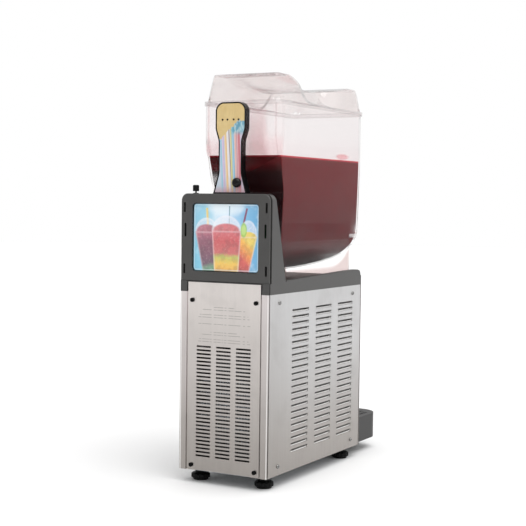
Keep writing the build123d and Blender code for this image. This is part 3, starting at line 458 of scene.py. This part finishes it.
def paddle_picture(settings):
    """Printed face of the paddle: gold above, coloured straws below."""
    g = Graph("paddle_print")
    x, _, z = g.axes()
    cloud = g.grain(14.0, 2.0)
    fibre = g.grain(1.2, 2.0, (1, 1, 0.08))
    picture = g.mix(cloud, opaque(settings.gold), tint(0xDEC68E))
    ragged = g.grain(4.0, 2.0, (1, 1, 0.4))
    edge = (700 - x * 0.95).least(715.0) + (ragged - 0.5) * 14
    field = (edge - z).rise(-0.8, 0.8)
    ground = g.mix((x + 26) / 52, tint(0xC9BCCB), tint(0xC6D2DE))
    picture = g.mix(field, picture, ground)
    # each straw: x where it passes its mark, x at its foot, width and colour
    low, high, past_mark, rise = 576, 720, 30, 110
    straws = (
        (23, 16.5, 4.0, 0x93C0D4), (18, 11.5, 4.0, 0xC4AECF), (12, 4.5, 5.0, 0xE3BE86),
        (7, 0, 4.0, 0xDEDBDC), (3.5, -4.5, 1.6, 0x8A6A56), (-0.5, -6, 3.6, 0xCDC377),
        (-4.5, -11, 5.0, 0x86B7CF), (-10.5, -15, 3.2, 0xDBA494), (-17, -22, 8.0, 0xC4767F),
    )
    for top_x, foot_x, width, colour in straws:
        end_x = top_x + (top_x - foot_x) / rise * past_mark
        bar = stroke(x, z, (end_x, high), (foot_x, low), width) * field
        picture = g.mix(bar, picture, tint(colour))
        aside = width * 0.2
        shine = stroke(x, z, (end_x + aside, high), (foot_x + aside, low), width * 0.25)
        picture = g.mix(shine * field * 0.3, picture, tint(0xFFFFFF))
    splash = field * z.rise(684, 696) * x.rise(2, -6)
    water = g.mix(ragged.rise(0.4, 0.6), tint(0x4F9DB4), tint(0xA8CCD2))
    picture = g.mix(splash * 0.9, picture, water)
    foot = z.rise(590, 578)
    picture = g.mix(foot * 0.5, picture, tint(0xD9A8B0))
    picture = g.mix((fibre - 0.5) * 0.25 + 0.04, picture, tint(0x3A3A3A))
    return g.finish({
        "Base Color": picture,
        "Roughness": 0.28 + cloud * 0.06,
        "Coat Weight": 0.4,
        "Coat Roughness": 0.06,
        "Normal": g.bump(fibre, 0.01),
    })


# ---- Mesh helpers ----
def merged(node):
    """A copy of a frame mesh with its loose triangles joined."""
    bm = bmesh.new()
    bm.from_mesh(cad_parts[node].data)
    bmesh.ops.remove_doubles(bm, verts=bm.verts, dist=0.01 * MM)
    return bm


def all_of(bm):
    """Every vertex, edge and face of a bmesh."""
    return bm.verts[:] + bm.edges[:] + bm.faces[:]


def make_piece(bm, name, material, body, nodes=(), sharp=35.0):
    """Turn a bmesh into a finished piece that rides on a body and replaces its nodes."""
    mesh = bpy.data.meshes.new(name)
    bm.to_mesh(mesh)
    bm.free()
    mesh.polygons.foreach_set("use_smooth", [True] * len(mesh.polygons))
    mesh.set_sharp_from_angle(angle=radians(sharp))
    mesh.materials.append(material)
    piece = bpy.data.objects.new(name, mesh)
    bpy.context.scene.collection.objects.link(piece)
    even = piece.modifiers.new("even_shading", "WEIGHTED_NORMAL")
    even.keep_sharp = True
    even.weight = 100
    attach(piece, body)
    if nodes:
        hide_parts(*nodes)
    return piece


def coat(material, *nodes):
    """Give frame nodes a finish."""
    for name in nodes:
        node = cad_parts[name]
        if not node.material_slots:
            node.data.materials.append(material)
        for place in node.material_slots:
            place.material = material


# ---- Settings ----
def colour_setting(name, description, code):
    """A colour property whose default is a six-digit screen colour."""
    return bpy.props.FloatVectorProperty(
        name=name, description=description, subtype="COLOR", size=3, min=0.0, max=1.0,
        default=tint(code)[:3])


class SteelSettings(bpy.types.PropertyGroup):
    panel: colour_setting("Panels", "Colour of the brushed steel panels", 0xCBCBCC)
    galvanised: colour_setting("Galvanised", "Colour of the galvanised inner sheet", 0xA9ADB0)
    roughness: bpy.props.FloatProperty(
        name="Roughness", description="How satin the panels are", default=0.34, min=0.05, max=1.0,
        subtype="FACTOR")
    grain: bpy.props.FloatProperty(
        name="Grain", description="Width of the brushed lines, in millimetres", default=0.6,
        min=0.1, max=5.0)


class MouldingSettings(bpy.types.PropertyGroup):
    grey: colour_setting("Grey", "Colour of the deck, the housing and the drip tray", 0x3F3E3D)
    black: colour_setting("Black", "Colour of the glossy black mouldings", 0x070708)
    rubber: colour_setting("Rubber", "Colour of the feet and the gaskets", 0x09090A)


class ClearSettings(bpy.types.PropertyGroup):
    through: colour_setting("Through", "Tint of light that passes a clear wall", 0xFEFEFE)
    film_colour: colour_setting("Film", "Colour of the drink left on the wall", 0xE0707A)
    haze: bpy.props.FloatProperty(
        name="Haze", description="Milkiness of the clear plastic", default=0.012, min=0.0,
        max=1.0, subtype="FACTOR")
    edge: bpy.props.FloatProperty(
        name="Edge", description="How grey the walls look where they turn away", default=0.3,
        min=0.0, max=1.0, subtype="FACTOR")
    film: bpy.props.FloatProperty(
        name="Film", description="How strongly the film above the drink shows", default=0.1,
        min=0.0, max=1.0, subtype="FACTOR")


class DrinkSettings(bpy.types.PropertyGroup):
    colour: colour_setting("Drink", "Colour of the frozen drink", 0x6E0A12)
    surface: colour_setting(
        "Surface", "Colour of the line where the drink meets the wall", 0xB0182C)
    swell: bpy.props.FloatProperty(
        name="Swell", description="Height of the lumps on top, in metres", default=0.002,
        min=0.0, max=0.01, subtype="DISTANCE", unit="LENGTH")


class PictureSettings(bpy.types.PropertyGroup):
    sky_left: colour_setting("Sky on +X", "Sky colour at one side of the sign", 0x6FBAD8)
    sky_right: colour_setting("Sky on -X", "Sky colour at the other side", 0x58A2D0)
    gold: colour_setting("Gold", "Colour of the paddle's upper part", 0xCDB074)
    glow: bpy.props.FloatProperty(
        name="Glow", description="Strength of the sign's light", default=0.16, min=0.0, max=10.0)


class StudioSettings(bpy.types.PropertyGroup):
    floor: colour_setting("Floor", "Colour of the floor", 0xE8E8E8)
    lens: bpy.props.FloatProperty(
        name="Lens", description="Focal length of the camera", default=84.6, min=10.0, max=300.0,
        subtype="DISTANCE_CAMERA", unit="CAMERA")
    sun: bpy.props.FloatProperty(
        name="Main light", description="Strength of the main light", default=1.9, min=0.0,
        max=20.0)


GROUPS = {
    "slush_steel": SteelSettings, "slush_moulding": MouldingSettings,
    "slush_clear": ClearSettings, "slush_drink": DrinkSettings,
    "slush_picture": PictureSettings, "slush_studio": StudioSettings,
}


# ---- Operators ----
class SLUSH_OT_studio(bpy.types.Operator):
    """Make the pale floor, the soft lights and the camera"""
    bl_idname = "slush.studio"
    bl_label = "Studio"

    def execute(self, context):
        settings = context.scene.slush_studio
        self.floor(settings)
        self.world(context.scene)
        self.lights(context.scene, settings)
        self.camera(context.scene, settings)
        return {"FINISHED"}

    def floor(self, settings):
        g = Graph("studio_floor")
        cloud = g.grain(400.0, 2.0)
        material = g.finish({
            "Base Color": g.mix(cloud, opaque(settings.floor), tint(0xEAEAEA)),
            "Roughness": 0.7 + cloud * 0.1})
        bm = bmesh.new()
        bmesh.ops.create_circle(bm, cap_ends=True, segments=64, radius=14.0)
        mesh = bpy.data.meshes.new("studio_floor")
        bm.to_mesh(mesh)
        bm.free()
        mesh.materials.append(material)
        floor = bpy.data.objects.new("studio_floor", mesh)
        bpy.context.scene.collection.objects.link(floor)

    def world(self, scene):
        """White to the eye; as a light, bright above and to the sides and dimmer elsewhere."""
        g = Graph("studio_world", bpy.data.worlds, "Generated")
        seen = g.add("ShaderNodeLightPath", out="Is Camera Ray")
        x, y, z = g.axes(1.0)
        across = (x * 0.873 + y * 0.487).rise(-1.0, 1.0, 1.0, 0.62)
        glow = across * z.rise(-0.2, 0.7, 0.8, 1.1)
        light = g.add("ShaderNodeBackground", None, {
            "Color": (1, 1, 1, 1), "Strength": seen * (1 - glow) + glow})
        g.add("ShaderNodeOutputWorld", None, {"Surface": light})
        scene.world = g.material
        scene.view_settings.view_transform = "Standard"

    def lights(self, scene, settings):
        sun = bpy.data.lights.new("main_light", "SUN")
        sun.energy = settings.sun
        sun.angle = radians(60)
        place = bpy.data.objects.new("main_light", sun)
        place.rotation_euler = Vector((0.35, -0.22, -1.0)).to_track_quat("-Z", "Y").to_euler()
        scene.collection.objects.link(place)

    def camera(self, scene, settings):
        yaw, pitch, roll = radians(29.14), radians(2.74), radians(0.72)
        forward = Vector((sin(yaw) * cos(pitch), -cos(yaw) * cos(pitch), -sin(pitch)))
        right = Vector((-cos(yaw), -sin(yaw), 0))
        up = right.cross(forward)
        tilted = cos(roll) * right + sin(roll) * up
        upright = tilted.cross(forward)
        lens = bpy.data.cameras.new("camera")
        lens.lens = settings.lens
        lens.sensor_width = 36.0
        turn = Matrix((tilted, upright, -forward)).transposed().to_4x4()
        camera = bpy.data.objects.new("camera", lens)
        camera.matrix_world = Matrix.Translation((-1.2323, REAR + 2.0563, 0.5542)) @ turn
        scene.collection.objects.link(camera)
        scene.camera = camera


class SLUSH_OT_steelwork(bpy.types.Operator):
    """Finish the sheet metal of the cabinet"""
    bl_idname = "slush.steelwork"
    bl_label = "Steelwork"

    def execute(self, context):
        settings = context.scene.slush_steel
        coat(panel_finish("brushed_steel", settings), "left_side_panel", "right_side_panel",
             "front_panel")
        # The posts and the rear panel get lighter copies of the same steel: painted light.
        coat(panel_finish("post_steel", settings, upper=tint(0xE6DEDD)), "corner_posts")
        coat(panel_finish("rear_panel_steel", settings, True, tint(0xEAE3DF)), "rear_panel")
        plated = metal_finish("galvanised_sheet", settings.galvanised, 0.42, size=9.0,
                              spread=0.1)
        coat(plated, "base_pan", "tray_bracket")
        return {"FINISHED"}


class SLUSH_OT_mouldings(bpy.types.Operator):
    """Finish the grey plastic of the deck, the sign housing and the tray"""
    bl_idname = "slush.mouldings"
    bl_label = "Mouldings"

    def execute(self, context):
        settings = context.scene.slush_moulding
        grey = moulded_finish("grey_moulding", settings.grey, 0.42, 0.6, 0.02)
        coat(grey, "deck", "head_housing", "sign_bezel")
        coat(moulded_finish("tray_moulding", tint(0x2B2A2A), 0.45, specular=0.35),
             "drip_tray", "drip_grid")
        coat(moulded_finish("black_moulding", tint(0x1C1C1E), 0.5),
             "fan_shroud", "fan_blade", "terminal_box", "drum_neck", "adjuster_bush")
        return {"FINISHED"}


class SLUSH_OT_sign(bpy.types.Operator):
    """Finish the lit sign's window and printed sheet, and both circuit boards"""
    bl_idname = "slush.sign"
    bl_label = "Sign"

    def execute(self, context):
        coat(sign_picture(context.scene.slush_picture), "sign_print")
        coat(lens_finish("sign_window"), "sign_lens")
        coat(moulded_finish("circuit_board", tint(0x1F5A34), 0.35, 2.0),
             "sign_light_board", "control_board")
        return {"FINISHED"}


class SLUSH_OT_paddle(bpy.types.Operator):
    """Finish the control paddle, its lamps and both knobs"""
    bl_idname = "slush.paddle"
    bl_label = "Paddle"

    def execute(self, context):
        black = context.scene.slush_moulding.black
        gloss = moulded_finish("black_gloss", black, 0.2, 3.0, 0.004, specular=0.25)
        coat(gloss, "paddle_body", "selector_knob", "adjuster_knob")
        coat(paddle_picture(context.scene.slush_picture), "paddle_face")
        coat(moulded_finish("lamp_lens", tint(0x020202), 0.4, specular=0.05),
             "indicator_lamps")
        return {"FINISHED"}


class SLUSH_OT_cooling(bpy.types.Operator):
    """Finish the cooling plant inside the cabinet"""
    bl_idname = "slush.cooling"
    bl_label = "Cooling plant"

    def execute(self, context):
        coat(moulded_finish("compressor_paint", tint(0x17181A), 0.3, 1.4, 0.02, lacquer=0.3),
             "compressor")
        coat(metal_finish("aluminium_fins", tint(0xC9CCCF), 0.38, size=2.0), "condenser",
             "gearbox")
        coat(metal_finish("copper_pipe", tint(0xC47B55), 0.28, size=6.0, spread=0.15),
             "refrigerant_pipes", "filter_drier", "evaporator_coil")
        coat(metal_finish("motor_case", tint(0x8D9093), 0.4), "fan_motor", "gear_motor")
        return {"FINISHED"}


class SLUSH_OT_drum(bpy.types.Operator):
    """Finish the freezing drum, the auger and the shaft"""
    bl_idname = "slush.drum"
    bl_label = "Drum and auger"

    def execute(self, context):
        coat(metal_finish("polished_stainless", tint(0xD8D8D6), 0.18, (1, 0.03, 1)),
             "evaporator_drum", "drive_shaft")
        coat(moulded_finish("white_plastic", tint(0xE9E7E2), 0.35), "auger", "shaft_bushes")
        coat(moulded_finish("seal_rubber", tint(0x2A2A2C), 0.5), "shaft_seal", "bowl_gasket")
        return {"FINISHED"}


def drink_film_and_painted_streaks(g):
    """Mask of the thin film left on the wall above the drink, with a splash, a redder patch on
    the rear wall, and painted streaks along the rear corners that stand in for their reflections.
    """
    x, y, z = g.axes()
    runs = g.grain(9.0, 3.0, (1, 1, 0.35))
    above = z.rise(640, 652)
    rear = y.rise(196, 212)
    film = ((z - runs * 26.0).rise(690, 640) * 0.9 + z.rise(790, 650) * 0.4) * above
    splash = oval(y, z + runs * 3, (-68, 658), 30, 6).rise(1.3, 0.5) * x.rise(0, -20)
    glow = rear * x.rise(-66, -40) * x.rise(10, -25) * z.rise(765, 700) * above
    # Painted reflection: thin lines along the rear corners stand in for the streaks of light in
    # the rounded corners.
    line, soft = 1.4, 0.5
    on_rear = abs(x).band(76, 76 + line, soft) * y.rise(150, 190)
    on_side = y.band(203, 203 + line, soft) * abs(x).rise(80, 84)
    corner = (on_rear + on_side) * above
    return film * (rear * 0.8 + 0.3) + splash * 3.0 + glow * 1.6 + corner * 1.5


def under_bowl(g):
    """Mask of the skirt below the bowl's curved underside."""
    _, y, z = g.axes()
    lowest, front, front_rise, soft = 421, -165, 94, 5
    underside = (y / front).most(0.0) ** 3 * front_rise + lowest
    return (underside - z).rise(-soft, soft)


class SLUSH_OT_bowl(bpy.types.Operator):
    """Make the clear bowl, with its wetted walls and its skirt in their own finishes"""
    bl_idname = "slush.bowl"
    bl_label = "Bowl"

    def execute(self, context):
        settings = context.scene.slush_clear
        clear = clear_finish("clear_bowl", tint(0xD6CBCB), settings, drink_film_and_painted_streaks, edge=2.2,
                             through=(0.998, 0.986, 0.986, 1.0))
        wetted = clear_finish("wetted_wall", tint(0x6A3A3C), settings, shine=0.1)
        skirt = clear_finish("clear_skirt", tint(0xE2B8B6), settings, shine=0.2,
                             through=(0.86, 0.79, 0.78, 1.0), where=under_bowl)
        bm = merged("bowl")
        bmesh.ops.bisect_plane(bm, geom=all_of(bm), plane_co=(0, 0, DRINK_TOP),
                               plane_no=(0, 0, 1))
        low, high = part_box("slush")
        middle = (low + high) / 2
        downward, rearward, sideways = -0.15, 0.7, 0.999
        for face in bm.faces:
            spot = face.calc_center_median()
            across = Vector((spot.x, spot.y - middle.y, min(0, spot.z - AXIS_Z)))
            under = spot.z < AXIS_Z and face.normal.z < downward
            rear = face.normal.y > rearward
            if under or (spot.z < DRINK_TOP and (rear or face.normal.dot(across) < 0)):
                face.material_index = 1
            flat_side = abs(face.normal.x) > sideways
            if abs(spot.x) > SKIRT_X and spot.z < SKIRT_TOP and flat_side:
                face.material_index = 2
        bowl = make_piece(bm, "clear_bowl", clear, "cabinet", ["bowl"])
        bowl.data.materials.append(wetted)
        bowl.data.materials.append(skirt)
        return {"FINISHED"}


class SLUSH_OT_drink(bpy.types.Operator):
    """Make the frozen drink and its uneven surface"""
    bl_idname = "slush.drink"
    bl_label = "Drink"

    def execute(self, context):
        settings = context.scene.slush_drink
        finish = self.finish(settings)
        make_piece(merged("slush"), "frozen_drink", finish, "cabinet", ["slush"])
        self.top(settings, finish)
        return {"FINISHED"}

    def finish(self, settings):
        g = Graph("frozen_drink")
        z = g.axes()[2]
        ice = g.grain(2.2, 4.0, roughness=0.65)
        cloud = g.grain(40.0, 3.0)
        speck = g.cells(3.0).rise(0.2, 0.08) * g.grain(14.0, 2.0).rise(0.5, 0.6)
        # Painted shade: depth makes the drink darker towards the bottom.
        depth = z.rise(470, 640)
        base = g.mix(cloud * 0.35 + ice * 0.12 + depth * 0.4, shaded(settings.colour, 0.35),
                     opaque(settings.colour))
        # Painted shadow: the rear face of the drink just below its top turns near-black where the
        # head and the paddle would block the light.
        normal = g.add("ShaderNodeTexCoord", out="Normal")
        rearward = g.add("ShaderNodeSeparateXYZ", None, {0: normal}, 1).rise(0.5, 0.8)
        painted_rear_shadow = rearward * z.rise(648, 612)
        base = g.mix(painted_rear_shadow * 0.9, base, tint(0x140103))
        # Painted shade: near-black towards the bottom of the drink.
        base = g.mix(z.rise(478, 428) * 0.8, base, tint(0x1E0507))
        line = z.rise(645.5, 648.0)
        icy = g.mix(ice.rise(0.42, 0.72) * 0.5, opaque(settings.surface), tint(0xD4616C))
        base = g.mix(line, base, icy)
        base = g.mix(speck * 0.3 * z.rise(520, 600), base, tint(0xD98088))
        return g.finish({
            "Base Color": base,
            "Roughness": 0.4 + ice * 0.2,
            "Specular IOR Level": 0.1,
            "Subsurface Weight": 0.25,
            "Subsurface Radius": (1.0, 0.15, 0.1),
            "Subsurface Scale": 0.006,
            "Normal": g.bump(ice, 0.012),
        })

    def top(self, settings, finish):
        """A sheet of small lumps just inside the drink's top edge."""
        low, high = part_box("slush")
        middle = (low + high) / 2
        inset, corner = 0.2 * MM, 13.5 * MM
        half_x = high.x - inset
        half_y = (high.y - low.y) / 2 - inset
        bm = bmesh.new()
        bmesh.ops.create_grid(bm, x_segments=60, y_segments=120, size=1.0)
        bmesh.ops.scale(bm, verts=bm.verts, vec=(half_x, half_y, 1.0))
        bmesh.ops.translate(bm, verts=bm.verts, vec=(0, middle.y, high.z - settings.swell))
        outside = []
        for vert in bm.verts:
            past_x = max(0.0, abs(vert.co.x) - half_x + corner)
            past_y = max(0.0, abs(vert.co.y - middle.y) - half_y + corner)
            if past_x ** 2 + past_y ** 2 > corner ** 2:
                outside.append(vert)
            lump = noise.noise(vert.co * 60) + 0.5 * noise.noise(vert.co * 170)
            vert.co.z += settings.swell * lump * 0.8
        bmesh.ops.delete(bm, geom=outside, context="VERTS")
        make_piece(bm, "drink_surface", finish, "cabinet")


def least_smooth(first, second, blend):
    """The smaller of two numbers, with a rounded change from one to the other."""
    share = max(0.0, min(1.0, 0.5 + 0.5 * (second - first) / blend))
    return second * (1 - share) + first * share - blend * share * (1 - share)


def lid_height(x, y):
    """Height of the lid above its rim, in millimetres, at a place measured from its middle."""
    half_x, half_y = LID_HALF
    corner, wall_slope, valley = 22.0, 4.6, 33
    past_x = abs(x) - (half_x - corner)
    past_y = abs(y) - (half_y - corner)
    if past_x > 0 and past_y > 0:
        inside = corner - (past_x ** 2 + past_y ** 2) ** 0.5
    else:
        inside = min(half_x - abs(x), half_y - abs(y))
    along = y - 17
    if along > 0:
        top = valley + 21 * min(1.0, along / 112) ** 2.0
    else:
        top = valley + 16 * min(1.0, -along / 150) ** 1.8
    waist_y, flat, fade = 12, 34, 72
    waist = max(0.0, 1 - max(0.0, abs(y - waist_y) - flat) / fade)
    waist = waist * waist * (3 - 2 * waist)
    depth = max(0.0, half_x - abs(x))
    scoop = 0.024 * depth ** 2 + 0.25 * depth
    steep = wall_slope * max(0.0, inside)
    wall = steep * (1 - waist) + least_smooth(steep, scoop, 8.0) * waist
    return max(0.0, least_smooth(top, wall, 10.0)) if inside > 0 else inside


class SLUSH_OT_lid(bpy.types.Operator):
    """Make the clear lid: a pinched dome on a rim"""
    bl_idname = "slush.lid"
    bl_label = "Lid"

    def execute(self, context):
        settings = context.scene.slush_clear
        clear = clear_finish("clear_lid", tint(0xA69A98), settings, haze=14.0, edge=2.6,
                             through=(0.985, 0.966, 0.962, 1.0))
        rim = merged("lid")
        rim_top = LID_RIM + 0.4 * MM
        bmesh.ops.bisect_plane(rim, geom=all_of(rim), plane_co=(0, 0, rim_top),
                               plane_no=(0, 0, 1), clear_outer=True)
        edging = clear_finish("lid_edging", tint(0x8A807E), settings, haze=16.0, edge=3.0,
                              through=(0.96, 0.94, 0.94, 1.0))
        make_piece(rim, "lid_rim", edging, "lid")
        make_piece(self.dome(), "clear_lid", clear, "lid", ["lid"], 80.0)
        return {"FINISHED"}

    def dome(self):
        """A sheet raised to the lid's height, cut at its foot and given its thickness."""
        low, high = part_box("lid")
        middle = (low + high) / 2
        wall, cut = 2.2 * MM, -0.5
        half_x, half_y = LID_HALF
        bm = bmesh.new()
        bmesh.ops.create_grid(bm, x_segments=86, y_segments=194, size=1.0)
        bmesh.ops.scale(bm, verts=bm.verts, vec=(half_x * MM, half_y * MM, 1.0))
        outside = []
        for vert in bm.verts:
            height = lid_height(vert.co.x / MM, vert.co.y / MM)
            vert.co.z = LID_RIM + height * MM
            if height < cut:
                outside.append(vert)
        bmesh.ops.delete(bm, geom=outside, context="VERTS")
        bmesh.ops.translate(bm, verts=bm.verts, vec=(0, middle.y, 0))
        bmesh.ops.recalc_face_normals(bm, faces=bm.faces)
        bmesh.ops.solidify(bm, geom=bm.faces, thickness=wall)
        return bm


class SLUSH_OT_tap(bpy.types.Operator):
    """Finish the tap and make its spring"""
    bl_idname = "slush.tap"
    bl_label = "Tap"

    def execute(self, context):
        coat(moulded_finish("tap_plastic", tint(0x1A1A1C), 0.3), "tap_body", "tap_lever")
        coat(moulded_finish("piston_plastic", tint(0xE4E2DC), 0.35), "tap_piston")
        coat(moulded_finish("piston_seal", tint(0x202022), 0.5), "piston_seals")
        steel = metal_finish("spring_steel", tint(0xB8BABC), 0.22, size=4.0)
        coat(steel, "lever_pin")
        spring = make_piece(merged("tap_spring"), "tap_coil", steel, "cabinet",
                            ["tap_spring"])
        self.let_shorten(spring)
        return {"FINISHED"}

    def let_shorten(self, spring):
        """Gives the spring a mesh of its own."""
        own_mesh(spring)


class SLUSH_OT_fixings(bpy.types.Operator):
    """Finish the screws, feet, studs, gland and spindles"""
    bl_idname = "slush.fixings"
    bl_label = "Fixings"

    def execute(self, context):
        coat(metal_finish("bright_screw", tint(0x8E8E8C), 0.16, size=1.5),
             "side_panel_screws", "front_panel_screws", "foot_studs", "adjuster_screw",
             "selector_spindle")
        coat(moulded_finish("black_screw", tint(0x050506), 0.4, specular=0.1),
             "rear_panel_screws", "cable_gland")
        rubber = context.scene.slush_moulding.rubber
        coat(moulded_finish("rubber", rubber, 0.36, specular=0.12), "feet",
             "compressor_grommets")
        return {"FINISHED"}


OPERATORS = (
    SLUSH_OT_studio, SLUSH_OT_steelwork, SLUSH_OT_mouldings, SLUSH_OT_sign, SLUSH_OT_paddle,
    SLUSH_OT_cooling, SLUSH_OT_drum, SLUSH_OT_bowl, SLUSH_OT_drink, SLUSH_OT_lid, SLUSH_OT_tap,
    SLUSH_OT_fixings,
)


class SLUSH_PT_sidebar(bpy.types.Panel):
    """Lists the steps that build the dispenser, with their settings"""
    bl_idname = "SLUSH_PT_sidebar"
    bl_label = "Slush Dispenser"
    bl_space_type = "VIEW_3D"
    bl_region_type = "UI"
    bl_category = "Slush"

    def draw(self, context):
        for operator in OPERATORS:
            self.layout.operator(operator.bl_idname)
        for name, group in GROUPS.items():
            box = self.layout.box()
            for setting in group.__annotations__:
                box.prop(getattr(context.scene, name), setting)


def register():
    for name, group in GROUPS.items():
        bpy.utils.register_class(group)
        setattr(bpy.types.Scene, name, bpy.props.PointerProperty(type=group))
    for item in (*OPERATORS, SLUSH_PT_sidebar):
        bpy.utils.register_class(item)


def unregister():
    for item in (SLUSH_PT_sidebar, *reversed(OPERATORS)):
        bpy.utils.unregister_class(item)
    for name, group in GROUPS.items():
        delattr(bpy.types.Scene, name)
        bpy.utils.unregister_class(group)


def main():
    """Register the add-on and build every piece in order."""
    register()
    for operator in OPERATORS:
        area, step = operator.bl_idname.split(".")
        getattr(getattr(bpy.ops, area), step)()


if __name__ == "__main__":
    main()
